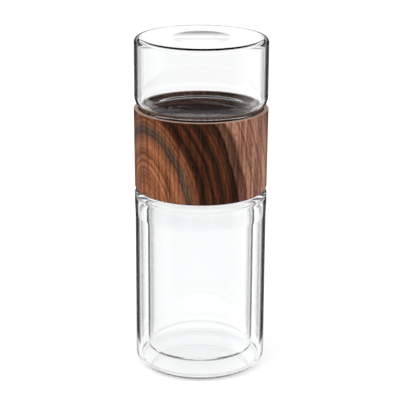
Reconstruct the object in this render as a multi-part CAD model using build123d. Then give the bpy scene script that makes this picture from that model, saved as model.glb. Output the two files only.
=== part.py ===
from build123d import *
import os
from math import cos, radians, tan

# Double-walled tea tumbler, in millimetres. A glass tea chamber screws into the top of a wooden collar,
# and the collar screws on to the neck of a double-walled glass. Z is up, and the origin is the middle of
# the foot. Everything is turned about Z, so each half section is a list of (radius, height, rounding).

# Outer wall of the double-walled glass
vessel_diameter = 69.8
vessel_wall = 2.5
vessel_floor = 2.5
foot_round = 6.0
floor_round = 1.2
shoulder_height = 98.0
shoulder_wall = 2.4
shoulder_round = 2.4
shoulder_inner_round = 2.0
shoulder_swell = 0.3
shoulder_bead = 0.5
swell_height = 3.0
swell_run = 8.0
swell_round = 20.0
neck_wall = 1.75
neck_height = 11.8
neck_foot_round = 0.8

# Inner wall of the double-walled glass
liner_wall = 1.3
liner_floor = 1.3
liner_lift = 7.2
liner_round = 1.3
liner_inner_round = 0.4
lip_height = 2.0
lip_round = 0.7

# Seals
vessel_gasket_thickness = 1.6
chamber_gasket_thickness = 1.5
gasket_lip_height = 2.5
gasket_lip_width = 0.9
gasket_round = 0.35

# Wooden sleeve
sleeve_height = 43.75
sleeve_gap = 0.6
sleeve_proud = 0.5
sleeve_wall = 2.45
sleeve_draft = 0.3
sleeve_top_round = 0.5
sleeve_foot_round = 2.0
sleeve_inner_round = 0.3

# Threaded core inside the sleeve
core_inset = 1.8
core_wall = 1.25
chamber_socket_wall = 3.25
chamber_socket_depth = 10.4
thread_room = 1.2
web_thickness = 2.2
throat_wall = 2.0
ledge_lap = 3.7
core_round = 0.3

# Strainer of thin steel sheet
sheet = 0.5
strainer_depth = 5.0
strainer_seat = 1.6
strainer_round = 0.2
hole_diameter = 2.0
hole_pitch = 3.6
hole_margin = 1.0

# Glass tea chamber
chamber_height = 37.65
chamber_proud = 0.2
chamber_wall = 2.3
chamber_crown = 1.5
chamber_crown_round = 3.0
chamber_inner_round = 0.8
dimple_diameter = 32.0
dimple_depth = 0.4
dimple_round = 120.0
chamber_dip = 1.85
chamber_shoulder_angle = 22.0
chamber_shoulder_round = 9.0
chamber_floor_round = 5.5
chamber_neck_wall = 2.0
chamber_neck_round = 1.0
chamber_bore_round = 2.0
chamber_rim_round = 0.6

# Clearances
slip_gap = 0.3
glue_gap = 0.15

# Radii, worked inwards from the outside
vessel_radius = vessel_diameter / 2
vessel_bore = vessel_radius - vessel_wall
sleeve_radius = vessel_radius + sleeve_proud
sleeve_bore = sleeve_radius - sleeve_wall
core_radius = sleeve_bore - glue_gap
vessel_socket = core_radius - core_wall
neck_radius = vessel_socket - thread_room
neck_bore = neck_radius - neck_wall
liner_radius = neck_bore - slip_gap
liner_bore = liner_radius - liner_wall
chamber_radius = vessel_radius + chamber_proud
chamber_hollow = chamber_radius - chamber_wall
chamber_socket = core_radius - chamber_socket_wall
chamber_neck = chamber_socket - thread_room
chamber_bore = chamber_neck - chamber_neck_wall
throat_bore = chamber_neck - ledge_lap
strainer_radius = throat_bore - slip_gap

# Heights, worked upwards from the foot
neck_top = shoulder_height + neck_height
mouth = neck_top + lip_height
low_web = mouth + vessel_gasket_thickness
sleeve_foot = shoulder_height + sleeve_gap
sleeve_top = sleeve_foot + sleeve_height
ledge = sleeve_top - chamber_socket_depth
flange_top = ledge + sheet
chamber_rim = flange_top + chamber_gasket_thickness
chamber_top = sleeve_top + chamber_height


def turned(*corners):
    """Solid turned about Z from its half section, given as (radius, height, rounding) corners."""
    with BuildPart() as part:
        with BuildSketch(Plane.XZ):
            with BuildLine():
                points = [(radius, height) for radius, height, _ in corners]
                FilletPolyline(*points, radius=[rounding for _, _, rounding in corners], close=True)
            make_face()
        revolve(axis=Axis.Z)
    return part.part


def outer_glass():
    """Outer wall: rounded foot, straight side that swells under the shoulder, and a neck for the thread."""
    ceiling = shoulder_height - shoulder_wall
    swell_top = ceiling - swell_height
    swell_start = swell_top - swell_run
    return turned(
        (0, 0, 0),
        (vessel_radius, 0, foot_round),
        (vessel_radius, swell_start, swell_round),
        (vessel_radius + shoulder_swell, swell_top, swell_round),
        (vessel_radius + shoulder_swell, shoulder_height, shoulder_round),
        (neck_radius, shoulder_height, neck_foot_round),
        (neck_radius, neck_top, 0),
        (neck_bore, neck_top, 0),
        (neck_bore, ceiling, 0),
        (vessel_bore - shoulder_bead, ceiling, shoulder_inner_round),
        (vessel_bore - shoulder_bead, swell_top, swell_round),
        (vessel_bore, swell_start, swell_round),
        (vessel_bore, vessel_floor, floor_round),
        (0, vessel_floor, 0),
    )


def inner_glass():
    """Inner wall: a cup whose turned-out lip is welded to the top of the outer wall's neck."""
    foot = vessel_floor + liner_lift
    return turned(
        (0, foot, 0),
        (liner_radius, foot, liner_round),
        (liner_radius, neck_top, 0),
        (neck_radius, neck_top, 0),
        (neck_radius, mouth, lip_round),
        (liner_bore, mouth, lip_round),
        (liner_bore, foot + liner_floor, liner_inner_round),
        (0, foot + liner_floor, 0),
    )


def vessel_gasket():
    """Flat silicone ring between the mouth of the glass and the collar."""
    outer = vessel_socket - slip_gap
    return turned(
        (liner_bore, mouth, gasket_round),
        (outer, mouth, gasket_round),
        (outer, low_web, gasket_round),
        (liner_bore, low_web, gasket_round),
    )


def thread_core():
    """Spool of moulded plastic: a socket for the glass below, one for the chamber above, a throat between."""
    waist = throat_bore + throat_wall
    core_foot = sleeve_foot + core_inset
    core_top = sleeve_top - core_inset
    return turned(
        (vessel_socket, core_foot, core_round),
        (core_radius, core_foot, core_round),
        (core_radius, low_web + web_thickness, core_round),
        (waist, low_web + web_thickness, core_round),
        (waist, ledge - web_thickness, core_round),
        (core_radius, ledge - web_thickness, core_round),
        (core_radius, core_top, core_round),
        (chamber_socket, core_top, core_round),
        (chamber_socket, ledge, 0),
        (throat_bore, ledge, core_round),
        (throat_bore, low_web, core_round),
        (vessel_socket, low_web, 0),
    )


def wood_sleeve():
    """Wooden tube round the core, with a crisp top edge, a rounded foot and a slight taper."""
    return turned(
        (sleeve_bore, sleeve_foot, 0),
        (sleeve_radius - sleeve_draft, sleeve_foot, sleeve_foot_round),
        (sleeve_radius, sleeve_top, sleeve_top_round),
        (sleeve_bore, sleeve_top, sleeve_inner_round),
    )


def strainer_rim():
    """Pressed steel cup with an open bottom: a flange on the ledge, a skirt, and a seat turned in."""
    skirt = strainer_radius - sheet
    foot = flange_top - strainer_depth
    return turned(
        (strainer_radius - strainer_seat - sheet, foot, strainer_round),
        (strainer_radius, foot, strainer_round),
        (strainer_radius, ledge, 0),
        (chamber_socket - slip_gap, ledge, strainer_round),
        (chamber_socket - slip_gap, flange_top, strainer_round),
        (skirt, flange_top, strainer_round),
        (skirt, foot + sheet, 0),
        (strainer_radius - strainer_seat - sheet, foot + sheet, strainer_round),
    )


def strainer_disc():
    """Perforated steel disc that lies on the rim's seat, with rings of holes round a middle one."""
    radius = strainer_radius - sheet - glue_gap
    height = flange_top - strainer_depth + sheet
    field = strainer_radius - strainer_seat - sheet - hole_margin - hole_diameter / 2
    with BuildPart() as part:
        with BuildSketch(Plane.XY.offset(height)):
            Circle(radius)
            Circle(hole_diameter / 2, mode=Mode.SUBTRACT)
            for ring in range(1, int(field / hole_pitch) + 1):
                with PolarLocations(ring * hole_pitch, 6 * ring):
                    Circle(hole_diameter / 2, mode=Mode.SUBTRACT)
        extrude(amount=sheet)
    return part.part


def chamber_gasket():
    """Silicone ring on the rim of the chamber, with a lip that plugs into its neck."""
    inner = chamber_bore - slip_gap - gasket_lip_width
    lip = chamber_bore - slip_gap
    outer = chamber_socket - 2 * slip_gap
    return turned(
        (inner, flange_top, gasket_round),
        (outer, flange_top, gasket_round),
        (outer, chamber_rim, gasket_round),
        (lip, chamber_rim, 0),
        (lip, chamber_rim + gasket_lip_height, gasket_round),
        (inner, chamber_rim + gasket_lip_height, gasket_round),
    )


def tea_chamber():
    """Upturned glass beaker: flat crown dimpled inside, straight side, low shoulder, neck for the thread."""
    slope = tan(radians(chamber_shoulder_angle))
    thickness = chamber_wall / cos(radians(chamber_shoulder_angle))
    neck_root = sleeve_top - chamber_dip
    under = chamber_top - chamber_crown

    def outside(radius):
        return neck_root + (radius - chamber_neck) * slope

    def inside(radius):
        return outside(radius) + thickness

    return turned(
        (chamber_bore, chamber_rim, chamber_rim_round),
        (chamber_neck, chamber_rim, chamber_rim_round),
        (chamber_neck, neck_root, chamber_neck_round),
        (chamber_radius, outside(chamber_radius), chamber_shoulder_round),
        (chamber_radius, chamber_top, chamber_crown_round),
        (0, chamber_top, 0),
        (0, under + dimple_depth, 0),
        (dimple_diameter / 2, under, dimple_round),
        (chamber_hollow, under, chamber_inner_round),
        (chamber_hollow, inside(chamber_hollow), chamber_floor_round),
        (chamber_bore, inside(chamber_bore), chamber_bore_round),
    )


parts = {
    "outer_glass": outer_glass(),
    "inner_glass": inner_glass(),
    "vessel_gasket": vessel_gasket(),
    "thread_core": thread_core(),
    "wood_sleeve": wood_sleeve(),
    "strainer_rim": strainer_rim(),
    "strainer_disc": strainer_disc(),
    "chamber_gasket": chamber_gasket(),
    "tea_chamber": tea_chamber(),
}

os.makedirs("parts", exist_ok=True)
for name, shape in parts.items():
    export_step(shape, f"parts/{name}.step")
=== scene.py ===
"""Studio scene of a double-walled tea cup with a wooden collar and a screwed-on tea chamber.

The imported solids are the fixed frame. Each turned piece is rebuilt as a fine mesh that carries its
screw thread and its finish, and rides on the body of the solid that it stands for. Lengths are in
metres unless a name says otherwise.
"""

import logging
import math
from dataclasses import dataclass
from enum import Enum

import bmesh
import bpy
from mathutils import Matrix, Vector


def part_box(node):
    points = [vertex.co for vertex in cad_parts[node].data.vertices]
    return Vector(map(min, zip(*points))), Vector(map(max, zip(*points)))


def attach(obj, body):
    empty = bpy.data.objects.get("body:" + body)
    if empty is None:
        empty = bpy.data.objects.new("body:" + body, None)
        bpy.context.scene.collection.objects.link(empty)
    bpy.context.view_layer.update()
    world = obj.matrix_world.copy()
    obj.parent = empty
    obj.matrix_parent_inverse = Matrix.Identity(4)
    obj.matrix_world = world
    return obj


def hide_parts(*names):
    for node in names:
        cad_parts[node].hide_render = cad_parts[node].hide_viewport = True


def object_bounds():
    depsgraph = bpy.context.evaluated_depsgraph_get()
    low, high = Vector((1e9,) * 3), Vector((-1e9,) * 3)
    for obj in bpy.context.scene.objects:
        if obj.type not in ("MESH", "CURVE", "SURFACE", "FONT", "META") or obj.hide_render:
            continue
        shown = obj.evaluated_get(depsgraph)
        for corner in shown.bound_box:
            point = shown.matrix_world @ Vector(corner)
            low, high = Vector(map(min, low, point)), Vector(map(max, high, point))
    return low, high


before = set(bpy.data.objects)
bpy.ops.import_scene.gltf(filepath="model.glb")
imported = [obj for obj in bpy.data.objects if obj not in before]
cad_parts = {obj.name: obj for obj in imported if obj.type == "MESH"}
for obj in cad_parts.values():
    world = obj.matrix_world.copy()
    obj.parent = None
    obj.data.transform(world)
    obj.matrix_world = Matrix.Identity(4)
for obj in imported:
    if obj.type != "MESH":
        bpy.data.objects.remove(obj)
CAD_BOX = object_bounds()

LOG = logging.getLogger("tea_cup")
MM = 0.001
SEGMENTS = 256
ARC_STEP = math.radians(7.5)
LEAST_ARC_STEPS = 3
SHARP_ANGLE = math.radians(32)
SUPPORT = 0.12 * MM
TOUCH = 1e-7
FULL_TURN = 360.0
HALF_TURN = 180.0
HALF_PITCH = 0.5
NOISE_MIDDLE = 0.5
TONE_FROM = 0.3
TONE_TO = 0.7
NO_BOUNCE = 0.5

# Sockets of Blender's Mix node that carry its two colours and the mixed one
MIX_FIRST = 6
MIX_SECOND = 7
MIX_RESULT = 2

Point = tuple[float, float]
Colour = tuple[float, float, float, float]
Stops = tuple[tuple[float, Colour], ...]
Socket = bpy.types.NodeSocket
Feed = float | tuple[float, ...] | Socket


class Body(str, Enum):
    """The moving bodies of the cup."""

    VESSEL = "vessel"
    VESSEL_SEAL = "vessel_seal"
    COLLAR = "collar"
    CHAMBER_SEAL = "chamber_seal"
    CHAMBER = "chamber"


class Slot(str, Enum):
    """The record's material slots."""

    GLASS = "glass"
    SILICONE = "silicone"
    CORE = "core_plastic"
    WOOD = "wood"
    STEEL = "steel"


class Node(str, Enum):
    """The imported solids."""

    OUTER_GLASS = "outer_glass"
    INNER_GLASS = "inner_glass"
    VESSEL_GASKET = "vessel_gasket"
    THREAD_CORE = "thread_core"
    WOOD_SLEEVE = "wood_sleeve"
    STRAINER_RIM = "strainer_rim"
    STRAINER_DISC = "strainer_disc"
    CHAMBER_GASKET = "chamber_gasket"
    TEA_CHAMBER = "tea_chamber"


@dataclass(frozen=True)
class Corner:
    """A corner of a turned outline.

    Attributes:
        radius: Distance from the upright axis.
        height: Height above the foot.
        rounding: Radius of the arc at the corner, 0 for a sharp one.
    """

    radius: float
    height: float
    rounding: float = 0.0


@dataclass(frozen=True)
class Thread:
    """A right-handed screw thread of several starts on an upright wall.

    Attributes:
        root: Radius of the wall that carries the ridges.
        low: Height at which the ridges start to rise.
        high: Height at which they have run out.
        depth: How far a ridge stands off the wall, below 0 for an inside thread.
        phase: Place of the ridges as a share of the pitch, which keeps a mating pair apart.
        lead: Rise in one turn.
        starts: Number of ridges side by side.
        ridge_share: Share of the pitch that a ridge takes.
        run_out: Height over which a ridge fades at either end.
        row: Height between two rows of the mesh.
    """

    root: float
    low: float
    high: float
    depth: float
    phase: float = 0.0
    lead: float = 9.0 * MM
    starts: int = 3
    ridge_share: float = 0.56
    run_out: float = 1.2 * MM
    row: float = 0.22 * MM

    def rows(self) -> list[float]:
        """Gives the heights of the mesh's rows on the threaded wall."""
        count = math.ceil((self.high - self.low) / self.row)
        return [self.low + (self.high - self.low) * i / count for i in range(count + 1)]

    def carries(self, radius: float, height: float) -> bool:
        """Tells whether a point of the outline is on the threaded wall."""
        return abs(radius - self.root) < TOUCH and self.low <= height <= self.high

    def offset(self, height: float, angle: float) -> float:
        """Gives how far the ridges move the wall at one place.

        Args:
            height: Height of the place.
            angle: Its angle round the axis.

        Returns:
            The change of radius.
        """
        pitch = self.lead / self.starts
        turn = (height - self.lead * angle / math.tau) / pitch - self.phase
        from_crest = abs(turn - round(turn)) / (self.ridge_share / 2)
        if from_crest >= 1:
            return 0.0
        fade = min(1.0, (height - self.low) / self.run_out, (self.high - height) / self.run_out)
        return self.depth * max(0.0, fade) * (1 + math.cos(math.pi * from_crest)) / 2


@dataclass(frozen=True)
class Outline:
    """A closed outline that is turned about the upright axis.

    Attributes:
        corners: The corners in order.
        threads: The screw threads on its upright walls.
    """

    corners: tuple[Corner, ...]
    threads: tuple[Thread, ...] = ()

    def thread_at(self, radius: float, height: float) -> Thread | None:
        """Gives the thread that carries a point of the outline, if one does."""
        return next((t for t in self.threads if t.carries(radius, height)), None)

    def _arc(self, index: int) -> list[Point]:
        """Gives the points of one corner.

        Args:
            index: Which corner.

        Returns:
            The points of its arc, or the corner itself where it is sharp.
        """
        corner = self.corners[index]
        here = Vector((corner.radius, corner.height))
        if corner.rounding == 0:
            return [tuple(here)]
        before = self.corners[index - 1]
        after = self.corners[(index + 1) % len(self.corners)]
        back = (Vector((before.radius, before.height)) - here).normalized()
        ahead = (Vector((after.radius, after.height)) - here).normalized()
        half = back.angle(ahead) / 2
        centre = here + (back + ahead).normalized() * (corner.rounding / math.sin(half))
        start = here + back * (corner.rounding / math.tan(half)) - centre
        sweep = start.angle_signed(here + ahead * (corner.rounding / math.tan(half)) - centre)
        steps = max(LEAST_ARC_STEPS, math.ceil(abs(sweep) / ARC_STEP))
        turned = [Matrix.Rotation(-sweep * i / steps, 2) @ start + centre for i in range(steps + 1)]
        return [tuple(p) for p in turned]

    def _straight(self, start: Point, end: Point, rounded: tuple[bool, bool]) -> list[Point]:
        """Gives the points between two corners.

        Args:
            start: Where the run leaves one corner.
            end: Where it meets the next.
            rounded: Whether each of the two corners is rounded.

        Returns:
            Points beside the rounded ends that keep the run flat, and the rows of a thread.
        """
        first, last = Vector(start), Vector(end)
        way = last - first
        if way.length < 4 * SUPPORT:
            return []
        shares = []
        if rounded[0]:
            shares.append(SUPPORT / way.length)
        if rounded[1]:
            shares.append(1 - SUPPORT / way.length)
        for thread in self.threads:
            if abs(start[0] - thread.root) < TOUCH and abs(end[0] - thread.root) < TOUCH:
                shares += [(height - start[1]) / way.y for height in thread.rows()]
        return [tuple(first + way * s) for s in sorted(shares) if 0 < s < 1]

    def points(self) -> list[Point]:
        """Works out the whole outline.

        Returns:
            Pairs of radius and height, in order round the outline.
        """
        arcs = [self._arc(i) for i in range(len(self.corners))]
        found: list[Point] = []
        for i, arc in enumerate(arcs):
            j = (i + 1) % len(arcs)
            rounded = (self.corners[i].rounding > 0, self.corners[j].rounding > 0)
            found += arc
            found += self._straight(arc[-1], arcs[j][0], rounded)
        return found


def turn(name: str, outline: Outline) -> bpy.types.Object:
    """Turns an outline about the upright axis into a closed, smooth mesh.

    Args:
        name: Name of the new piece.
        outline: The outline with its threads.

    Returns:
        The new object, at the origin.
    """
    places: list[tuple[float, float, float]] = []
    rings: list[list[int]] = []
    for radius, height in outline.points():
        if radius < TOUCH:
            rings.append([len(places)] * SEGMENTS)
            places.append((0.0, 0.0, height))
            continue
        rings.append(list(range(len(places), len(places) + SEGMENTS)))
        thread = outline.thread_at(radius, height)
        for k in range(SEGMENTS):
            angle = math.tau * k / SEGMENTS
            far = radius + thread.offset(height, angle) if thread else radius
            places.append((far * math.cos(angle), far * math.sin(angle), height))
    faces = []
    for low, high in zip(rings, rings[1:] + rings[:1]):
        for k in range(SEGMENTS):
            n = (k + 1) % SEGMENTS
            loop = list(dict.fromkeys((low[k], low[n], high[n], high[k])))
            if len(loop) > 2:
                faces.append(loop)
    mesh = bpy.data.meshes.new(name)
    mesh.from_pydata(places, [], faces)
    shape = bmesh.new()
    shape.from_mesh(mesh)
    bmesh.ops.recalc_face_normals(shape, faces=shape.faces)
    shape.to_mesh(mesh)
    shape.free()
    mesh.shade_smooth()
    mesh.set_sharp_from_angle(angle=SHARP_ANGLE)
    piece = bpy.data.objects.new(name, mesh)
    bpy.context.scene.collection.objects.link(piece)
    return piece


def grey(level: float) -> Colour:
    """Gives the grey of a brightness."""
    return level, level, level, 1.0


class Graph:
    """A short way to add shader nodes and join them.

    Attributes:
        tree: The node tree being filled.
    """

    def __init__(self, tree: bpy.types.NodeTree) -> None:
        """Empties a node tree and keeps it."""
        self.tree = tree
        tree.nodes.clear()

    def add(self, kind: str, settings: dict[str, object] | None = None, **inputs: Feed) -> bpy.types.Node:
        """Adds a node.

        Args:
            kind: The node's type, without the words ShaderNode.
            settings: The node's own properties.
            **inputs: Values or output sockets for its inputs, by name, with _ for a space.

        Returns:
            The new node.
        """
        node = self.tree.nodes.new("ShaderNode" + kind)
        for key, value in (settings or {}).items():
            setattr(node, key, value)
        for key, value in inputs.items():
            self.feed(node.inputs[key.replace("_", " ")], value)
        return node

    def feed(self, socket: Socket, value: Feed) -> None:
        """Joins an output socket to an input, or sets the input's own value."""
        if isinstance(value, Socket):
            self.tree.links.new(value, socket)
        else:
            socket.default_value = value

    def math(self, operation: str, *values: Feed) -> Socket:
        """Adds one step of arithmetic.

        Args:
            operation: Blender's name of the operation.
            *values: Numbers or output sockets.

        Returns:
            The result's socket.
        """
        node = self.add("Math", {"operation": operation})
        for socket, value in zip(node.inputs, values):
            self.feed(socket, value)
        return node.outputs[0]

    def vector(self, operation: str, *values: Feed) -> bpy.types.Node:
        """Adds one step of vector arithmetic and returns its node."""
        node = self.add("VectorMath", {"operation": operation})
        for socket, value in zip(node.inputs, values):
            self.feed(socket, value)
        return node

    def ramp(self, value: Socket, stops: Stops | list[tuple[float, Colour]]) -> Socket:
        """Adds a colour ramp.

        Args:
            value: The socket that drives it.
            stops: Pairs of a place from 0 to 1 and a colour, in rising order.

        Returns:
            The colour's socket.
        """
        node = self.add("ValToRGB", Fac=value)
        row = node.color_ramp.elements
        while len(row) < len(stops):
            row.new(0.5)
        for element, (place, _) in zip(row, stops):
            element.position = place
        for element, (_, colour) in zip(row, stops):
            element.color = colour
        return node.outputs["Color"]

    def blend(self, how: str, share: float | Socket, first: Feed, second: Feed) -> Socket:
        """Mixes two colours.

        Args:
            how: Blender's name of the way to mix them.
            share: How much of the second, from 0 to 1.
            first: Colour or socket.
            second: Colour or socket.

        Returns:
            The mixed colour's socket.
        """
        node = self.add("Mix", {"data_type": "RGBA", "blend_type": how})
        self.feed(node.inputs["Factor"], share)
        self.feed(node.inputs[MIX_FIRST], first)
        self.feed(node.inputs[MIX_SECOND], second)
        return node.outputs[MIX_RESULT]

    def noise(self, place: Socket, scale: float, detail: float) -> Socket:
        """Adds a noise of so many marks to a unit and of so many octaves, and returns its socket."""
        return self.add("TexNoise", Vector=place, Scale=scale, Detail=detail).outputs["Fac"]

    def choose(self, share: Socket, first: Socket, second: Socket) -> Socket:
        """Mixes two shaders.

        Args:
            share: How much of the second, from 0 to 1.
            first: Socket of a shader.
            second: Socket of a shader.

        Returns:
            The mixed shader's socket.
        """
        node = self.add("MixShader", Fac=share)
        self.feed(node.inputs[1], first)
        self.feed(node.inputs[2], second)
        return node.outputs[0]

    def show(self, kind: str, surface: Socket) -> None:
        """Adds an output node of a kind and joins a shader to it."""
        self.feed(self.add(kind).inputs["Surface"], surface)


def bare_material(name: str) -> tuple[bpy.types.Material, Graph]:
    """Starts a material and returns it with its empty graph."""
    material = bpy.data.materials.new(name)
    material.use_nodes = True
    return material, Graph(material.node_tree)


def new_material(name: str) -> tuple[bpy.types.Material, Graph, bpy.types.Node]:
    """Starts a material with a Principled shader.

    Args:
        name: The material's name.

    Returns:
        The material, its graph and its shader node.
    """
    material, graph = bare_material(name)
    shader = graph.add("BsdfPrincipled")
    graph.show("OutputMaterial", shader.outputs["BSDF"])
    return material, graph, shader


def in_mm(graph: Graph) -> Socket:
    """Gives a piece's own coordinates in millimetres."""
    place = graph.add("TexCoord").outputs["Object"]
    return graph.vector("MULTIPLY", place, (1 / MM,) * 3).outputs["Vector"]


def two_tone(graph: Graph, noise: Socket, low: Colour, high: Colour) -> Socket:
    """Lets a noise mix a darker and a lighter tone, and returns the colour's socket."""
    return graph.ramp(noise, [(TONE_FROM, low), (TONE_TO, high)])


@dataclass(frozen=True)
class ClearGlass:
    """Blown clear glass with a faint unevenness of its polish.

    Attributes:
        name: The material's name.
        colour: Tint of the surface.
        index: Index of refraction.
        haze: Most roughness that the polish has.
        wave_mm: Size of the slow unevenness.
    """

    name: str = "clear_glass"
    colour: Colour = (0.995, 0.998, 1.0, 1.0)
    index: float = 1.47
    haze: float = 0.012
    wave_mm: float = 28.0

    def make(self) -> bpy.types.Material:
        """Builds the material and returns it."""
        material, graph, shader = new_material(self.name)
        wave = graph.noise(in_mm(graph), scale=1 / self.wave_mm, detail=1.0)
        graph.feed(shader.inputs["Roughness"], graph.math("MULTIPLY", wave, self.haze))
        shader.inputs["Base Color"].default_value = self.colour
        shader.inputs["Transmission Weight"].default_value = 1.0
        shader.inputs["IOR"].default_value = self.index
        return material


class Tone(Enum):
    """Tones of the sleeve's wood, as linear colours. ROSE_AND_SHEEN is the wood's rosy tone lightened by a
    painted sheen, and TOP_SHEEN is a painted sky reflection.
    """

    HEART = (0.400, 0.150, 0.066, 1.0)
    WARM = (0.270, 0.098, 0.044, 1.0)
    BROWN = (0.105, 0.031, 0.012, 1.0)
    DUSK = (0.070, 0.023, 0.010, 1.0)
    SMOKE = (0.112, 0.066, 0.043, 1.0)
    DARK = (0.028, 0.013, 0.007, 1.0)
    # Wood tone and painted sheen: a rosy tone made pale enough to stand in for the lacquer's sheen where it
    # lies.
    ROSE_AND_SHEEN = (0.455, 0.224, 0.145, 1.0)
    CLAY = (0.250, 0.115, 0.071, 1.0)
    # Painted reflection: a pale tone that stands in for the sky mirrored in the lacquer of the top face.
    TOP_SHEEN = (0.680, 0.500, 0.385, 1.0)


@dataclass(frozen=True)
class Grain:
    """Marks that the upright fibres draw out.

    Attributes:
        length_mm: Length of a mark.
        width_mm: Its width.
        detail: Octaves of its noise.
        tints: Factors of the wood's colour, by the noise.
        strength: How much of these tints shows.
    """

    length_mm: float
    width_mm: float
    detail: float
    tints: Stops = ()
    strength: float = 0.0

    def noise(self, graph: Graph, place: Socket) -> Socket:
        """Adds the marks' noise.

        Args:
            graph: Graph of the wood.
            place: Coordinates in millimetres.

        Returns:
            The noise's socket.
        """
        per_mm = (1 / self.width_mm, 1 / self.width_mm, 1 / self.length_mm)
        drawn_out = graph.vector("MULTIPLY", place, per_mm).outputs["Vector"]
        return graph.noise(drawn_out, scale=1.0, detail=self.detail)

    def tint(self, graph: Graph, noise: Socket, colour: Socket) -> Socket:
        """Tints the wood's colour with the marks and returns the new colour's socket."""
        return graph.blend("MULTIPLY", self.strength, colour, graph.ramp(noise, self.tints))


@dataclass(frozen=True)
class FiguredWood:
    """Striped hardwood, turned across its heart and lacquered to a satin gloss.

    The growth layers are shells round one heart, so where the sleeve crosses them they give nested
    arches in front of the heart and steeper and steeper stripes away from it. The fibres run
    upright and draw out the streaks, the pores and the edges of the layers.

    Attributes:
        name: The material's name.
        heart_mm: Centre of the shells in the sleeve's own place.
        flattening: Height of the shells' coordinates, as a share of their width.
        reach_mm: Distance from the heart at which the layers end.
        sway_mm: How far the layers wander.
        sway_per_mm: Fineness of that wandering.
        fray_mm: How far the fibres fray the layers' edges.
        ring_per_mm: Fineness of the rings within the layers.
        ring_tints: Factors of the wood's colour, by the rings' noise.
        ring_strength: How much of these tints shows.
        fibre: The fibres that fray the layers.
        streak: Fine streaks.
        stripe: Broad stripes.
        pore: Open pores.
        pore_bump: Strength of the pores' relief.
        pore_depth: Depth of the pores.
        sheen_from: Upward share of the normal from which the painted sky reflection on the top face shows.
        sheen_full: Upward share at which it shows most.
        sheen_share: How much of this painted reflection's pale tone shows there.
        lacquer_roughness: Roughness of the lacquer.
        streak_roughness: Roughness that the streaks add.
        lacquer_gloss: Strength of the lacquer's reflection.
        layers_mm: Distance from the heart and tone of each growth layer.
    """

    name: str = "figured_wood"
    heart_mm: tuple[float, float, float] = (-28.9, -19.9, 90.0)
    flattening: float = 0.597
    reach_mm: float = 84.0
    sway_mm: float = 3.2
    sway_per_mm: float = 0.045
    fray_mm: float = 1.1
    ring_per_mm: float = 0.85
    ring_tints: Stops = ((0.36, (0.52, 0.50, 0.50, 1.0)), (0.50, grey(0.95)), (0.66, (1.22, 1.20, 1.18, 1.0)))
    ring_strength: float = 0.8
    fibre: Grain = Grain(length_mm=14.0, width_mm=1.3, detail=4.0)
    streak: Grain = Grain(
        length_mm=40.0,
        width_mm=1.0,
        detail=3.0,
        tints=((0.34, (0.50, 0.47, 0.45, 1.0)), (0.52, grey(1.0)), (0.70, (1.25, 1.24, 1.22, 1.0))),
        strength=0.85,
    )
    stripe: Grain = Grain(
        length_mm=70.0,
        width_mm=3.2,
        detail=2.0,
        tints=((0.40, (0.58, 0.54, 0.51, 1.0)), (0.50, grey(1.0)), (0.62, grey(1.16))),
        strength=0.8,
    )
    pore: Grain = Grain(
        length_mm=2.4,
        width_mm=0.42,
        detail=1.0,
        tints=((0.60, grey(1.0)), (0.69, (0.30, 0.24, 0.21, 1.0))),
        strength=0.9,
    )
    pore_bump: float = 0.25
    pore_depth: float = 0.04 * MM
    sheen_from: float = 0.75
    sheen_full: float = 0.95
    sheen_share: float = 0.75
    lacquer_roughness: float = 0.32
    streak_roughness: float = 0.16
    lacquer_gloss: float = 0.06
    layers_mm: tuple[tuple[float, Tone], ...] = (
        (6.0, Tone.HEART),
        (12.0, Tone.WARM),
        (16.0, Tone.HEART),
        (20.0, Tone.WARM),
        (22.5, Tone.HEART),
        (24.6, Tone.WARM),
        (26.6, Tone.SMOKE),
        (28.6, Tone.SMOKE),
        (30.2, Tone.WARM),
        (31.4, Tone.WARM),
        (33.2, Tone.BROWN),
        (34.7, Tone.DARK),
        (35.8, Tone.DARK),
        (36.8, Tone.BROWN),
        (38.2, Tone.BROWN),
        (38.9, Tone.DARK),
        (39.6, Tone.DUSK),
        (41.2, Tone.BROWN),
        (42.6, Tone.DARK),
        (43.6, Tone.DARK),
        (45.6, Tone.BROWN),
        (47.6, Tone.DUSK),
        (48.9, Tone.DARK),
        (49.4, Tone.DARK),
        (51.0, Tone.CLAY),
        (52.6, Tone.DUSK),
        # Painted sheen: the outer layers, on the sleeve's right side and back, get the rosy tone lightened to
        # stand in for the lacquer's sheen there as well as the wood's colour.
        (54.4, Tone.ROSE_AND_SHEEN),
        (64.0, Tone.ROSE_AND_SHEEN),
        (70.0, Tone.CLAY),
        (74.0, Tone.DARK),
        (76.0, Tone.BROWN),
        (84.0, Tone.WARM),
    )

    def make(self) -> bpy.types.Material:
        """Builds the material and returns it."""
        material, graph, shader = new_material(self.name)
        place = in_mm(graph)
        layer = self.layer(graph, place)
        share = graph.math("DIVIDE", layer, self.reach_mm)
        colour = graph.ramp(share, [(far / self.reach_mm, tone.value) for far, tone in self.layers_mm])
        ring = graph.add("TexNoise", {"noise_dimensions": "1D"}, W=layer, Scale=self.ring_per_mm, Detail=2.0)
        rings = graph.ramp(ring.outputs["Fac"], self.ring_tints)
        colour = graph.blend("MULTIPLY", self.ring_strength, colour, rings)
        streak, stripe, pore = (grain.noise(graph, place) for grain in (self.streak, self.stripe, self.pore))
        colour = self.streak.tint(graph, streak, colour)
        colour = self.stripe.tint(graph, stripe, colour)
        colour = self.pore.tint(graph, pore, colour)
        # Painted reflection: where the normal points up, the top face is painted in a pale tone that stands
        # in for the sky's reflection in the lacquer.
        facing = graph.add("SeparateXYZ", Vector=graph.add("TexCoord").outputs["Normal"]).outputs["Z"]
        top_sheen = graph.ramp(facing, [(self.sheen_from, grey(0.0)), (self.sheen_full, grey(self.sheen_share))])
        graph.feed(shader.inputs["Base Color"], graph.blend("MIX", top_sheen, colour, Tone.TOP_SHEEN.value))

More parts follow.
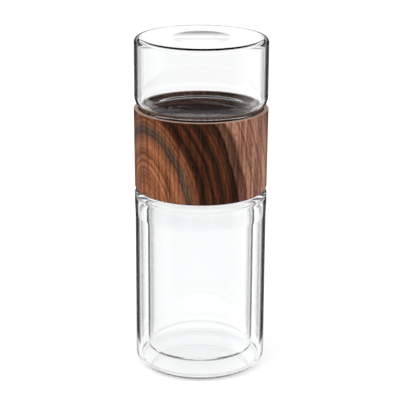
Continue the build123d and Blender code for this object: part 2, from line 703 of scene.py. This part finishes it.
        rough = graph.math("MULTIPLY_ADD", streak, self.streak_roughness, self.lacquer_roughness)
        graph.feed(shader.inputs["Roughness"], rough)
        bump = graph.add("Bump", {"invert": True}, Strength=self.pore_bump, Height=pore)
        graph.feed(bump.inputs["Distance"], self.pore_depth)
        graph.feed(shader.inputs["Normal"], bump.outputs["Normal"])
        shader.inputs["Specular IOR Level"].default_value = self.lacquer_gloss
        return material

    def layer(self, graph: Graph, place: Socket) -> Socket:
        """Works out how far a place is from the heart, with the layers' sway and frayed edges.

        Args:
            graph: Graph of the wood.
            place: Coordinates in millimetres.

        Returns:
            The distance's socket, in millimetres.
        """
        from_heart = graph.vector("SUBTRACT", place, self.heart_mm).outputs["Vector"]
        flat = graph.vector("MULTIPLY", from_heart, (1.0, 1.0, self.flattening)).outputs["Vector"]
        far = graph.vector("LENGTH", flat).outputs["Value"]
        slow = graph.noise(place, scale=self.sway_per_mm, detail=2.0)
        for noise, width_mm in ((slow, self.sway_mm), (self.fibre.noise(graph, place), self.fray_mm)):
            shift = graph.math("MULTIPLY", graph.math("SUBTRACT", noise, NOISE_MIDDLE), width_mm)
            far = graph.math("ADD", far, shift)
        return far


@dataclass(frozen=True)
class CorePlastic:
    """Dark brown moulded plastic with a soft gloss.

    Attributes:
        name: The material's name.
        low: Darker tone.
        high: Lighter tone.
        roughness: Roughness of the moulding.
        gloss: Strength of its reflection.
        cloud_per_mm: Fineness of the change between the tones.
        grain_per_mm: Fineness of the moulded grain.
        grain_roughness: Roughness that the grain adds.
        grain_bump: Strength of the grain's relief.
        grain_depth: Depth of the grain.
    """

    name: str = "brown_plastic"
    low: Colour = (0.225, 0.080, 0.038, 1.0)
    high: Colour = (0.305, 0.112, 0.056, 1.0)
    roughness: float = 0.45
    gloss: float = 0.12
    cloud_per_mm: float = 0.12
    grain_per_mm: float = 3.0
    grain_roughness: float = 0.12
    grain_bump: float = 0.12
    grain_depth: float = 0.02 * MM

    def make(self) -> bpy.types.Material:
        """Builds the material and returns it."""
        material, graph, shader = new_material(self.name)
        place = in_mm(graph)
        cloud = graph.noise(place, scale=self.cloud_per_mm, detail=3.0)
        graph.feed(shader.inputs["Base Color"], two_tone(graph, cloud, self.low, self.high))
        grain = graph.noise(place, scale=self.grain_per_mm, detail=2.0)
        rough = graph.math("MULTIPLY_ADD", grain, self.grain_roughness, self.roughness)
        graph.feed(shader.inputs["Roughness"], rough)
        bump = graph.add("Bump", Strength=self.grain_bump, Distance=self.grain_depth, Height=grain)
        graph.feed(shader.inputs["Normal"], bump.outputs["Normal"])
        shader.inputs["Specular IOR Level"].default_value = self.gloss
        return material


@dataclass(frozen=True)
class StrainerSteel:
    """Thin stainless steel with a fine circular brushing.

    Attributes:
        name: The material's name.
        low: Darker tone of the brushing.
        high: Lighter tone of the brushing.
        roughness: Roughness of the steel.
        brush_per_mm: Fineness of the brushing along a ring.
        brush_step: Change of the brushing from ring to ring, in one millimetre.
        brush_roughness: Roughness that the brushing adds.
    """

    name: str = "strainer_steel"
    low: Colour = (0.46, 0.45, 0.44, 1.0)
    high: Colour = (0.68, 0.67, 0.66, 1.0)
    roughness: float = 0.2
    brush_per_mm: float = 0.4
    brush_step: float = 9.0
    brush_roughness: float = 0.14

    def make(self) -> bpy.types.Material:
        """Builds the material and returns it."""
        material, graph, shader = new_material(self.name)
        place = in_mm(graph)
        level = graph.vector("MULTIPLY", place, (1.0, 1.0, 0.0)).outputs["Vector"]
        ring = graph.math("MULTIPLY", graph.vector("LENGTH", level).outputs["Value"], self.brush_step)
        settings = {"noise_dimensions": "4D"}
        noise = graph.add("TexNoise", settings, Vector=place, W=ring, Scale=self.brush_per_mm, Detail=3.0)
        brushing = noise.outputs["Fac"]
        graph.feed(shader.inputs["Base Color"], two_tone(graph, brushing, self.low, self.high))
        rough = graph.math("MULTIPLY_ADD", brushing, self.brush_roughness, self.roughness)
        graph.feed(shader.inputs["Roughness"], rough)
        shader.inputs["Metallic"].default_value = 1.0
        return material


@dataclass(frozen=True)
class DarkSilicone:
    """Soft dark brown silicone.

    Attributes:
        name: The material's name.
        low: Darker tone.
        high: Lighter tone.
        roughness: Roughness of the surface.
        gloss: Strength of its reflection.
        cloud_per_mm: Fineness of the change between the tones.
        cloud_roughness: Roughness that the lighter tone adds.
    """

    name: str = "dark_silicone"
    low: Colour = (0.055, 0.036, 0.030, 1.0)
    high: Colour = (0.085, 0.058, 0.049, 1.0)
    roughness: float = 0.5
    gloss: float = 0.15
    cloud_per_mm: float = 0.3
    cloud_roughness: float = 0.1

    def make(self) -> bpy.types.Material:
        """Builds the material and returns it."""
        material, graph, shader = new_material(self.name)
        cloud = graph.noise(in_mm(graph), scale=self.cloud_per_mm, detail=3.0)
        graph.feed(shader.inputs["Base Color"], two_tone(graph, cloud, self.low, self.high))
        rough = graph.math("MULTIPLY_ADD", cloud, self.cloud_roughness, self.roughness)
        graph.feed(shader.inputs["Roughness"], rough)
        shader.inputs["Specular IOR Level"].default_value = self.gloss
        return material


Finishes = dict[Slot, bpy.types.Material]


def make_finishes() -> Finishes:
    """Builds the material of each slot and returns them by slot."""
    kinds = {
        Slot.GLASS: ClearGlass(),
        Slot.WOOD: FiguredWood(),
        Slot.CORE: CorePlastic(),
        Slot.STEEL: StrainerSteel(),
        Slot.SILICONE: DarkSilicone(),
    }
    return {slot: finish.make() for slot, finish in kinds.items()}


def place_piece(name: str, outline: Outline, body: Body, node: Node, slot: Slot, finishes: Finishes) -> None:
    """Turns a piece, dresses it and puts it in the place of its solid.

    Args:
        name: Name of the piece.
        outline: Its turned outline.
        body: Body that it moves with.
        node: Solid that it stands for.
        slot: Slot of its finish.
        finishes: The materials.
    """
    piece = turn(name, outline)
    piece.data.materials.append(finishes[slot])
    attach(piece, body.value)
    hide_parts(node.value)
    LOG.info("%s stands for %s on %s", name, node.value, body.value)


def reach(node: Node) -> float:
    """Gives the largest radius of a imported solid."""
    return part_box(node.value)[1].x


def span(node: Node) -> tuple[float, float]:
    """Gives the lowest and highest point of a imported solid."""
    low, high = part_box(node.value)
    return low.z, high.z


@dataclass
class Vessel:
    """The double-walled glass: an outer wall, and an inner wall welded to it at the lip.

    Attributes:
        wall: Thickness of the outer wall.
        floor: Thickness of its floor.
        foot_round: Rounding of the outer foot.
        floor_round: Rounding of the floor inside.
        swell: How far the shoulder stands out.
        bead: How far the shoulder's bead stands in.
        swell_rise: Height of the upright stretch above the swell.
        swell_run: Height over which the wall swells.
        swell_round: Rounding of the swell.
        shoulder_wall: Thickness of the shoulder.
        shoulder_round: Rounding of the shoulder.
        shoulder_inner_round: Rounding under the shoulder.
        shoulder_drop: Gap between the shoulder and the sleeve.
        neck_wall: Thickness of the neck.
        neck_foot_round: Rounding where the neck leaves the shoulder.
        liner_wall: Thickness of the inner wall.
        liner_floor: Thickness of its floor.
        liner_round: Rounding of its foot.
        liner_inner_round: Rounding of its floor inside.
        liner_gap: Gap between the inner wall and the neck.
        lip_height: Height of the lip above the neck.
        lip_round: Rounding of the lip.
        thread_depth: Height of the neck's ridges.
        thread_inset: Plain height above and below the ridges.
    """

    wall: float = 2.5 * MM
    floor: float = 2.5 * MM
    foot_round: float = 6.0 * MM
    floor_round: float = 1.2 * MM
    swell: float = 0.3 * MM
    bead: float = 0.5 * MM
    swell_rise: float = 3.0 * MM
    swell_run: float = 8.0 * MM
    swell_round: float = 20.0 * MM
    shoulder_wall: float = 2.4 * MM
    shoulder_round: float = 2.4 * MM
    shoulder_inner_round: float = 2.0 * MM
    shoulder_drop: float = 0.6 * MM
    neck_wall: float = 1.75 * MM
    neck_foot_round: float = 0.8 * MM
    liner_wall: float = 1.3 * MM
    liner_floor: float = 1.3 * MM
    liner_round: float = 1.3 * MM
    liner_inner_round: float = 0.4 * MM
    liner_gap: float = 0.3 * MM
    lip_height: float = 2.0 * MM
    lip_round: float = 0.7 * MM
    thread_depth: float = 0.9 * MM
    thread_inset: float = 1.0 * MM

    def __post_init__(self) -> None:
        """Reads the main sizes from the frame."""
        self.radius = reach(Node.OUTER_GLASS) - self.swell
        self.foot, self.neck_top = span(Node.OUTER_GLASS)
        self.neck = reach(Node.INNER_GLASS)
        self.neck_bore = self.neck - self.neck_wall
        self.liner_foot, self.mouth = span(Node.INNER_GLASS)
        self.liner = self.neck_bore - self.liner_gap
        self.shoulder = span(Node.WOOD_SLEEVE)[0] - self.shoulder_drop

    def outer_outline(self) -> Outline:
        """Gives the outline of the outer wall, with its shoulder and its threaded neck."""
        ceiling = self.shoulder - self.shoulder_wall
        swell_top = ceiling - self.swell_rise
        swell_start = swell_top - self.swell_run
        out = self.radius + self.swell
        bore = self.radius - self.wall
        tight = bore - self.bead
        thread = Thread(
            root=self.neck,
            low=self.shoulder + self.neck_foot_round + self.thread_inset,
            high=self.neck_top - self.thread_inset,
            depth=self.thread_depth,
        )
        corners = (
            Corner(0, self.foot),
            Corner(self.radius, self.foot, self.foot_round),
            Corner(self.radius, swell_start, self.swell_round),
            Corner(out, swell_top, self.swell_round),
            Corner(out, self.shoulder, self.shoulder_round),
            Corner(self.neck, self.shoulder, self.neck_foot_round),
            Corner(self.neck, self.neck_top),
            Corner(self.neck_bore, self.neck_top),
            Corner(self.neck_bore, ceiling),
            Corner(tight, ceiling, self.shoulder_inner_round),
            Corner(tight, swell_top, self.swell_round),
            Corner(bore, swell_start, self.swell_round),
            Corner(bore, self.foot + self.floor, self.floor_round),
            Corner(0, self.foot + self.floor),
        )
        return Outline(corners, (thread,))

    def inner_outline(self) -> Outline:
        """Gives the outline of the inner wall, with the lip that is welded to the neck."""
        bore = self.liner - self.liner_wall
        lip_foot = self.mouth - self.lip_height
        corners = (
            Corner(0, self.liner_foot),
            Corner(self.liner, self.liner_foot, self.liner_round),
            Corner(self.liner, lip_foot),
            Corner(self.neck, lip_foot),
            Corner(self.neck, self.mouth, self.lip_round),
            Corner(bore, self.mouth, self.lip_round),
            Corner(bore, self.liner_foot + self.liner_floor, self.liner_inner_round),
            Corner(0, self.liner_foot + self.liner_floor),
        )
        return Outline(corners)

    def build(self, finishes: Finishes) -> None:
        """Builds and dresses the two walls."""
        walls = (
            ("vessel_outer_wall", self.outer_outline(), Node.OUTER_GLASS),
            ("vessel_inner_wall", self.inner_outline(), Node.INNER_GLASS),
        )
        for name, outline, node in walls:
            place_piece(name, outline, Body.VESSEL, node, Slot.GLASS, finishes)


def dress_solid(node: Node, slot: Slot, finishes: Finishes) -> None:
    """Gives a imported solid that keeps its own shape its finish."""
    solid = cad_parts[node.value]
    solid.data.materials.clear()
    solid.data.materials.append(finishes[slot])
    LOG.info("%s keeps its solid", node.value)


@dataclass
class Chamber:
    """The tea chamber: a short glass jar that stands on its threaded neck.

    Attributes:
        wall: Thickness of the wall.
        crown: Thickness of the closed top.
        crown_round: Rounding of the top.
        inner_round: Rounding under the top.
        dimple: Radius of the shallow dimple under the top.
        dimple_depth: How much thinner the top is in its middle.
        dimple_round: Rounding of the dimple's edge.
        neck: Radius of the neck.
        neck_wall: Thickness of the neck.
        neck_round: Rounding where the neck meets the shoulder.
        rim_round: Rounding of the open rim.
        dip: How far below the sleeve's top the shoulder leaves the neck.
        shoulder_angle: Slope of the shoulder.
        shoulder_round: Rounding between shoulder and wall.
        floor_round: Rounding between them inside.
        bore_round: Rounding where the shoulder meets the neck inside.
        thread_depth: Height of the neck's ridges.
        thread_inset: Plain height above and below the ridges.
    """

    wall: float = 2.3 * MM
    crown: float = 1.5 * MM
    crown_round: float = 3.0 * MM
    inner_round: float = 0.8 * MM
    dimple: float = 16.0 * MM
    dimple_depth: float = 0.4 * MM
    dimple_round: float = 120.0 * MM
    neck: float = 28.35 * MM
    neck_wall: float = 2.0 * MM
    neck_round: float = 1.0 * MM
    rim_round: float = 0.6 * MM
    dip: float = 1.85 * MM
    shoulder_angle: float = math.radians(22.0)
    shoulder_round: float = 9.0 * MM
    floor_round: float = 5.5 * MM
    bore_round: float = 2.0 * MM
    thread_depth: float = 0.9 * MM
    thread_inset: float = 0.8 * MM

    def __post_init__(self) -> None:
        """Reads the main sizes from the frame."""
        self.radius = reach(Node.TEA_CHAMBER)
        self.rim, self.top = span(Node.TEA_CHAMBER)
        self.neck_root = span(Node.WOOD_SLEEVE)[1] - self.dip

    def outline(self) -> Outline:
        """Gives the outline of the jar."""
        hollow = self.radius - self.wall
        bore = self.neck - self.neck_wall
        rise = math.tan(self.shoulder_angle)
        lift = self.wall / math.cos(self.shoulder_angle)
        under = self.top - self.crown

        def outside(radius: float) -> float:
            """Gives the height of the shoulder's outside at a radius."""
            return self.neck_root + (radius - self.neck) * rise

        thread = Thread(
            root=self.neck,
            low=self.rim + self.rim_round + self.thread_inset,
            high=self.neck_root - self.neck_round,
            depth=self.thread_depth,
            phase=HALF_PITCH,
        )
        corners = (
            Corner(bore, self.rim, self.rim_round),
            Corner(self.neck, self.rim, self.rim_round),
            Corner(self.neck, self.neck_root, self.neck_round),
            Corner(self.radius, outside(self.radius), self.shoulder_round),
            Corner(self.radius, self.top, self.crown_round),
            Corner(0, self.top),
            Corner(0, under + self.dimple_depth),
            Corner(self.dimple, under, self.dimple_round),
            Corner(hollow, under, self.inner_round),
            Corner(hollow, outside(hollow) + lift, self.floor_round),
            Corner(bore, outside(bore) + lift, self.bore_round),
        )
        return Outline(corners, (thread,))

    def build(self, finishes: Finishes) -> None:
        """Builds and dresses the jar."""
        place_piece("chamber_jar", self.outline(), Body.CHAMBER, Node.TEA_CHAMBER, Slot.GLASS, finishes)


@dataclass
class Collar:
    """The collar: a wooden sleeve round a threaded core, with a steel strainer in its throat.

    Attributes:
        sleeve_wall: Thickness of the sleeve.
        sleeve_draft: How much narrower the sleeve is at its foot.
        sleeve_top_round: Rounding of the top edge.
        sleeve_foot_round: Rounding of the foot.
        sleeve_inner_round: Rounding of the inner top edge.
        core_wall: Thickness of the core's wall round the vessel's neck.
        core_round: Rounding of the core's edges.
        socket_wall: Thickness of its wall round the chamber's neck.
        web: Thickness of the two webs between wall and throat.
        throat_inset: How much narrower the throat is than the upper socket.
        throat_wall: Thickness of the throat.
        sheet: Thickness of the strainer's flange, which lies on the upper web.
        thread_depth: Height of the sockets' ridges.
        thread_inset: Plain height above and below the ridges.
    """

    sleeve_wall: float = 2.45 * MM
    sleeve_draft: float = 0.3 * MM
    sleeve_top_round: float = 0.5 * MM
    sleeve_foot_round: float = 2.0 * MM
    sleeve_inner_round: float = 0.3 * MM
    core_wall: float = 1.25 * MM
    core_round: float = 0.3 * MM
    socket_wall: float = 3.25 * MM
    web: float = 2.2 * MM
    throat_inset: float = 4.9 * MM
    throat_wall: float = 2.0 * MM
    sheet: float = 0.5 * MM
    thread_depth: float = 0.9 * MM
    thread_inset: float = 1.2 * MM

    def sleeve_outline(self) -> Outline:
        """Gives the outline of the wooden sleeve."""
        radius = reach(Node.WOOD_SLEEVE)
        foot, top = span(Node.WOOD_SLEEVE)
        bore = radius - self.sleeve_wall
        corners = (
            Corner(bore, foot),
            Corner(radius - self.sleeve_draft, foot, self.sleeve_foot_round),
            Corner(radius, top, self.sleeve_top_round),
            Corner(bore, top, self.sleeve_inner_round),
        )
        return Outline(corners)

    def core_outline(self) -> Outline:
        """Gives the outline of the core: two sockets with inside threads and a throat between them."""
        radius = reach(Node.THREAD_CORE)
        foot, top = span(Node.THREAD_CORE)
        low_web = span(Node.VESSEL_GASKET)[1]
        ledge = span(Node.STRAINER_RIM)[1] - self.sheet
        lower, upper = radius - self.core_wall, radius - self.socket_wall
        bore = upper - self.throat_inset
        waist = bore + self.throat_wall
        edge = self.core_round
        corners = (
            Corner(lower, foot, edge),
            Corner(radius, foot, edge),
            Corner(radius, low_web + self.web, edge),
            Corner(waist, low_web + self.web, edge),
            Corner(waist, ledge - self.web, edge),
            Corner(radius, ledge - self.web, edge),
            Corner(radius, top, edge),
            Corner(upper, top, edge),
            Corner(upper, ledge),
            Corner(bore, ledge, edge),
            Corner(bore, low_web, edge),
            Corner(lower, low_web),
        )
        gap = self.thread_inset
        rim = span(Node.CHAMBER_GASKET)[1]
        for_vessel = Thread(
            root=lower,
            low=foot + edge + gap,
            high=span(Node.OUTER_GLASS)[1] - gap,
            depth=-self.thread_depth,
            phase=HALF_PITCH,
        )
        for_chamber = Thread(root=upper, low=rim, high=top - edge - gap / 2, depth=-self.thread_depth)
        return Outline(corners, (for_vessel, for_chamber))

    def build(self, finishes: Finishes) -> None:
        """Builds and dresses the sleeve and the core, and dresses the strainer."""
        turned = (
            ("collar_sleeve", self.sleeve_outline(), Node.WOOD_SLEEVE, Slot.WOOD),
            ("collar_core", self.core_outline(), Node.THREAD_CORE, Slot.CORE),
        )
        for name, outline, node, slot in turned:
            place_piece(name, outline, Body.COLLAR, node, slot, finishes)
        for node in (Node.STRAINER_RIM, Node.STRAINER_DISC):
            dress_solid(node, Slot.STEEL, finishes)


@dataclass
class Seals:
    """The two silicone rings on which the screwed pieces close.

    Attributes:
        rings: The solids of the rings.
    """

    rings: tuple[Node, ...] = (Node.VESSEL_GASKET, Node.CHAMBER_GASKET)

    def build(self, finishes: Finishes) -> None:
        """Dresses the two rings."""
        for ring in self.rings:
            dress_solid(ring, Slot.SILICONE, finishes)


@dataclass(frozen=True)
class Screen:
    """A screen that stands upright beside the cup.

    An edge beyond 180 degrees either way isn't drawn: there the screen goes on to meet its neighbour.

    Attributes:
        first: Direction of its first edge in degrees, from +Y towards -X.
        last: Direction of its last edge, 360 degrees on where the screen goes all round.
        fade_first: Half the width over which the first edge fades.
        fade_last: Half the width over which the last edge fades.
        level: Its brightness, as a share of the white room's.
    """

    first: float
    last: float
    fade_first: float
    fade_last: float
    level: float

    def stops(self) -> list[tuple[float, Colour]]:
        """Gives its edges as stops of a ramp that goes once round, from -180 to 180 degrees."""
        if self.last - self.first >= FULL_TURN:
            return [(0.0, grey(self.level)), (1.0, grey(self.level))]
        edges = (
            (self.first - self.fade_first, 1.0),
            (self.first + self.fade_first, self.level),
            (self.last - self.fade_last, self.level),
            (self.last + self.fade_last, 1.0),
        )
        drawn = [edge for edge in edges if abs(edge[0]) < HALF_TURN]
        return [((angle + HALF_TURN) / FULL_TURN, grey(level)) for angle, level in drawn]


@dataclass(frozen=True)
class Belt:
    """Screens of one height, in order round the cup.

    Attributes:
        low: Sine of the elevation of their lower edge.
        high: Sine of the elevation of their upper edge, above 1 where they close overhead.
        fade: Half the height over which these edges fade.
        screens: The screens, by rising direction.
    """

    low: float
    high: float
    fade: float
    screens: tuple[Screen, ...]

    def light(self, graph: Graph, around: Socket, rise: Socket) -> Socket:
        """Adds the belt's brightness to a world.

        Args:
            graph: Graph of the world.
            around: Direction as a share of the way round, from -180 degrees.
            rise: Sine of the elevation, brought to 0 to 1.

        Returns:
            The brightness as a colour's socket.
        """
        beside = graph.ramp(around, [stop for screen in self.screens for stop in screen.stops()])
        edges = (
            (self.low - self.fade, 1.0),
            (self.low + self.fade, 0.0),
            (self.high - self.fade, 0.0),
            (self.high + self.fade, 1.0),
        )
        above = graph.ramp(rise, [((sine + 1) / 2, grey(level)) for sine, level in edges if abs(sine) < 1])
        return graph.blend("LIGHTEN", 1.0, beside, above)


def flat_piece(name: str, shape: bmesh.types.BMesh, height: float,
               material: bpy.types.Material) -> bpy.types.Object:
    """Makes a level piece of the stage.

    Args:
        name: Name of the piece.
        shape: Its shape, which is used up.
        height: Height at which it lies.
        material: Its material.

    Returns:
        The new object.
    """
    mesh = bpy.data.meshes.new(name)
    shape.to_mesh(mesh)
    shape.free()
    mesh.materials.append(material)
    piece = bpy.data.objects.new(name, mesh)
    piece.location.z = height
    bpy.context.scene.collection.objects.link(piece)
    return piece


@dataclass(frozen=True)
class Softbox:
    """A softbox that faces the cup's middle.

    Attributes:
        name: Name of the lamp.
        place: Where it stands.
        width: Its width.
        height: Its height.
        watts: Its power.
    """

    name: str
    place: tuple[float, float, float]
    width: float
    height: float
    watts: float

    def build(self) -> None:
        """Adds the lamp, which lights the cup without showing in its glass."""
        data = bpy.data.lights.new(self.name, "AREA")
        data.shape = "RECTANGLE"
        data.size = self.width
        data.size_y = self.height
        data.energy = self.watts
        lamp = bpy.data.objects.new(self.name, data)
        lamp.location = self.place
        lamp.visible_glossy = False
        lamp.visible_transmission = False
        middle = (CAD_BOX[0] + CAD_BOX[1]) / 2
        lamp.rotation_mode = "QUATERNION"
        lamp.rotation_quaternion = (middle - Vector(self.place)).to_track_quat("-Z", "Y")
        bpy.context.scene.collection.objects.link(lamp)


@dataclass
class Studio:
    """Floor, light and camera.

    Attributes:
        focal_px: Focal length in pixels of the picture.
        picture_px: Side of the square picture.
        sensor_mm: Width of the camera's sensor.
        camera_side: Distance of the camera to the right of the axis.
        camera_back: Distance of the camera in front of the axis.
        camera_height: Height of the camera above the foot.
        pitch: Downward tilt of the camera.
        roll: Turn of the camera about its line of sight.
        bounces: Most times that light is bent or bounces on its way.
        glossy_bounces: Most times that it is mirrored.
        floor_half: Half the side of the floor.
        floor_drop: Gap that keeps the floor off the foot.
        floor_grey: Brightness of the floor's paint.
        floor_lift: Light that the camera sees on top of the floor's paint.
        card_radius: Radius of the glowing card under the foot.
        card_painted_shadow: Brightness of the card's painted shadow, by shares of its radius.
        room_tint: Colour of the room's even light.
        room_light: Strength of that light on matt pieces.
        glass_light: Strength of the room as glass and gloss show it.
        softboxes: The lamps.
        through: Belts of screens that show straight through the glass and draw its edges.
        mirrored: Belts of screens that show in reflections.
    """

    focal_px: float = 1436.2
    picture_px: float = 400.0
    sensor_mm: float = 36.0
    camera_side: float = -0.35 * MM
    camera_back: float = 733.8 * MM
    camera_height: float = 323.6 * MM
    pitch: float = math.radians(17.58)
    roll: float = math.radians(0.30)
    bounces: int = 32
    glossy_bounces: int = 12
    floor_half: float = 4.0
    floor_drop: float = 0.2 * MM
    floor_grey: float = 0.8
    floor_lift: float = 0.5
    card_radius: float = 50.0 * MM
    card_painted_shadow: Stops = ((0.2, grey(0.86)), (0.72, grey(1.0)))
    room_tint: Colour = (1.0, 0.99, 0.98, 1.0)
    room_light: float = 0.62
    glass_light: float = 1.08
    softboxes: tuple[Softbox, ...] = (
        Softbox("key", (-1.1, -1.0, 1.3), width=0.9, height=1.2, watts=14.0),
        Softbox("fill", (1.3, -0.7, 0.8), width=0.7, height=1.2, watts=8.0),
    )
    through: tuple[Belt, ...] = (
        Belt(-0.48, 0.11, 0.03, (Screen(-40.0, -17.5, 1.5, 3.0, 0.02), Screen(17.5, 40.0, 3.0, 1.5, 0.02))),
    )
    mirrored: tuple[Belt, ...] = (
        Belt(-0.48, 0.11, 0.03, (Screen(-36.5, -3.5, 2.0, 1.5, 0.03), Screen(3.5, 36.5, 1.5, 2.0, 0.03))),
        Belt(-0.275, 0.10, 0.04, (
            Screen(-240.0, -110.0, 1.0, 15.0, 0.12),
            Screen(60.0, 240.0, 15.0, 1.0, 0.12),
        )),
        Belt(-0.70, -0.20, 0.04, (
            Screen(-240.0, -110.0, 1.0, 15.0, 0.6),
            Screen(60.0, 240.0, 15.0, 1.0, 0.6),
        )),
        Belt(0.245, 0.32, 0.008, (Screen(-105.0, 105.0, 8.0, 8.0, 0.03),)),
        Belt(0.46, 1.20, 0.02, (Screen(-180.0, 180.0, 0.0, 0.0, 0.03),)),
    )

    def camera(self) -> None:
        """Adds the camera at the photograph's place."""
        data = bpy.data.cameras.new("camera")
        data.sensor_width = self.sensor_mm
        data.lens = data.sensor_width * self.focal_px / self.picture_px
        camera = bpy.data.objects.new("camera", data)
        tilt = Matrix.Rotation(math.pi / 2 - self.pitch, 4, "X") @ Matrix.Rotation(self.roll, 4, "Z")
        place = (self.camera_side, -self.camera_back, self.camera_height)
        camera.matrix_world = Matrix.Translation(place) @ tilt
        bpy.context.scene.collection.objects.link(camera)
        bpy.context.scene.camera = camera

    def world(self) -> None:
        """Lights matt pieces evenly, and shows dark screens in a white room to glass and gloss."""
        world = bpy.data.worlds.new("studio")
        world.use_nodes = True
        bpy.context.scene.world = world
        graph = Graph(world.node_tree)
        way = graph.add("SeparateXYZ", Vector=graph.add("TexCoord").outputs["Generated"]).outputs
        around = graph.math("ARCTAN2", graph.math("MULTIPLY", way["X"], -1.0), way["Y"])
        share = graph.math("MULTIPLY_ADD", around, 1 / math.tau, 0.5)
        rise = graph.math("MULTIPLY_ADD", way["Z"], 0.5, 0.5)
        path = graph.add("LightPath").outputs
        rooms = [self.room(graph, belts, share, rise) for belts in (self.mirrored, self.through)]
        unturned = graph.math("LESS_THAN", path["Glossy Depth"], NO_BOUNCE)
        straight = graph.math("MULTIPLY", path["Is Transmission Ray"], unturned)
        screens = graph.blend("MIX", straight, *rooms)
        seen = graph.add("Background", Color=screens, Strength=self.glass_light).outputs[0]
        even = graph.add("Background", Color=self.room_tint, Strength=self.room_light).outputs[0]
        plain = graph.add("Background", Color=grey(1.0), Strength=1.0).outputs[0]
        shiny = graph.math("MAXIMUM", path["Is Glossy Ray"], path["Is Transmission Ray"])
        unscattered = graph.math("LESS_THAN", path["Diffuse Depth"], NO_BOUNCE)
        lit = graph.choose(graph.math("MULTIPLY", shiny, unscattered), even, seen)
        graph.show("OutputWorld", graph.choose(path["Is Camera Ray"], lit, plain))

    @staticmethod
    def room(graph: Graph, belts: tuple[Belt, ...], around: Socket, rise: Socket) -> Socket:
        """Adds the brightness of a white room with belts of screens.

        Args:
            graph: Graph of the world.
            belts: The belts that show.
            around: Direction as a share of the way round, from -180 degrees.
            rise: Sine of the elevation, brought to 0 to 1.

        Returns:
            The brightness as a colour's socket.
        """
        level: Feed = grey(1.0)
        for belt in belts:
            level = graph.blend("DARKEN", 1.0, level, belt.light(graph, around, rise))
        return level

    def card(self) -> None:
        """Adds a glowing card under the foot with a painted shadow, which only light through the glass meets
        and which shades the foot.
        """
        material, graph = bare_material("card")
        far = graph.vector("LENGTH", graph.add("TexCoord").outputs["Object"]).outputs["Value"]
        # Painted shadow: the card glows, darker in its middle, and stands in for the floor's shadow under the
        # foot.
        shade = graph.ramp(graph.math("DIVIDE", far, self.card_radius), self.card_painted_shadow)
        graph.show("OutputMaterial", graph.add("Emission", Color=shade, Strength=1.0).outputs[0])
        shape = bmesh.new()
        bmesh.ops.create_circle(shape, cap_ends=True, segments=64, radius=self.card_radius)
        card = flat_piece("card", shape, -self.floor_drop / 2, material)
        card.visible_camera = False
        card.visible_glossy = False
        card.visible_diffuse = False
        card.visible_shadow = False

    def floor(self) -> None:
        """Adds a white floor that keeps the cup's soft shadow."""
        material, graph = bare_material("floor")
        matt = graph.add("BsdfDiffuse", Color=grey(self.floor_grey)).outputs[0]
        lift = graph.add("Emission", Color=grey(1.0), Strength=self.floor_lift).outputs[0]
        both = graph.add("AddShader")
        graph.feed(both.inputs[0], matt)
        graph.feed(both.inputs[1], lift)
        direct = graph.add("LightPath").outputs["Is Camera Ray"]
        graph.show("OutputMaterial", graph.choose(direct, matt, both.outputs[0]))
        shape = bmesh.new()
        bmesh.ops.create_grid(shape, x_segments=8, y_segments=8, size=self.floor_half)
        floor = flat_piece("floor", shape, -self.floor_drop, material)
        floor.visible_transmission = False
        floor.visible_glossy = False

    def build(self) -> None:
        """Builds the whole studio."""
        scene = bpy.context.scene
        scene.view_settings.view_transform = "Standard"
        scene.cycles.max_bounces = self.bounces
        scene.cycles.transmission_bounces = self.bounces
        scene.cycles.glossy_bounces = self.glossy_bounces
        self.camera()
        self.world()
        self.floor()
        self.card()
        for softbox in self.softboxes:
            softbox.build()
        LOG.info("studio ready")


def main() -> None:
    """Builds the cup and its studio."""
    logging.basicConfig(level=logging.INFO, format="%(name)s: %(message)s")
    finishes = make_finishes()
    Vessel().build(finishes)
    Seals().build(finishes)
    Collar().build(finishes)
    Chamber().build(finishes)
    Studio().build()


if __name__ == "__main__":
    main()
